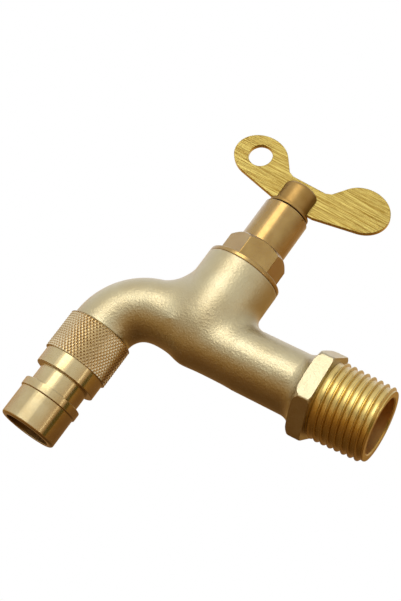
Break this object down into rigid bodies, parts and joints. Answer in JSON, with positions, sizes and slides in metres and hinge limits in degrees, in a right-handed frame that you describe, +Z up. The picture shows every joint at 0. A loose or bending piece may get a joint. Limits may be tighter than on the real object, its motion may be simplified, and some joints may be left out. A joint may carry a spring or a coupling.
{
  "type": "washing machine tap",
  "caption": "Quarter-turn brass wall tap with a lift-off butterfly key, ceramic discs, a male pipe thread at the inlet and a knurled stepped nozzle for a hose.",
  "frame": {"origin": "centre of the wall-side face of the inlet hexagon, where the pipe thread starts", "axes": "+X along the inlet into the wall, +Z up and square to the inlet, +Y to the left of someone facing the wall; the spindle leans 3.5 degrees to the wall"},
  "size_m": [0.0858, 0.022, 0.1028],
  "materials": {
    "cast_brass": "satin, bead-blasted casting",
    "turned_brass": "turned and brushed",
    "key_brass": "turned and brushed",
    "sheet_brass": "stamped sheet, brushed along the wings",
    "nozzle_brass": "turned and polished, diamond knurl",
    "spindle_brass": "turned",
    "rubber": "matte",
    "nylon": "matte",
    "ceramic": "lapped ceramic",
    "spring_steel": "spring steel",
    "strainer_steel": "pressed strainer"
  },
  "bodies": {
    "tap": {"body": "cast_brass", "bonnet": "turned_brass", "bonnet_o_ring": "rubber", "thrust_washer": "nylon", "fixed_disc": "ceramic", "seat_seal": "rubber", "nozzle": "nozzle_brass", "nozzle_washer": "rubber", "nozzle_screen": "strainer_steel"},
    "spindle": {"spindle": "spindle_brass", "lower_o_ring": "rubber", "upper_o_ring": "rubber", "circlip": "spring_steel", "moving_disc": "ceramic"},
    "key": {"key_stem": "key_brass", "wing_plate": "sheet_brass"}
  },
  "joints": [
    {"name": "valve_turn", "type": "hinge", "parent": "tap", "child": "spindle", "pos_m": [-0.03578, 0, 0.01996], "axis": [0.061, 0, 0.9981], "range_deg": [0, 90]},
    {"name": "key_lift", "type": "slide", "parent": "spindle", "child": "key", "axis": [0.061, 0, 0.9981], "range_m": [0, 0.012]}
  ]
}
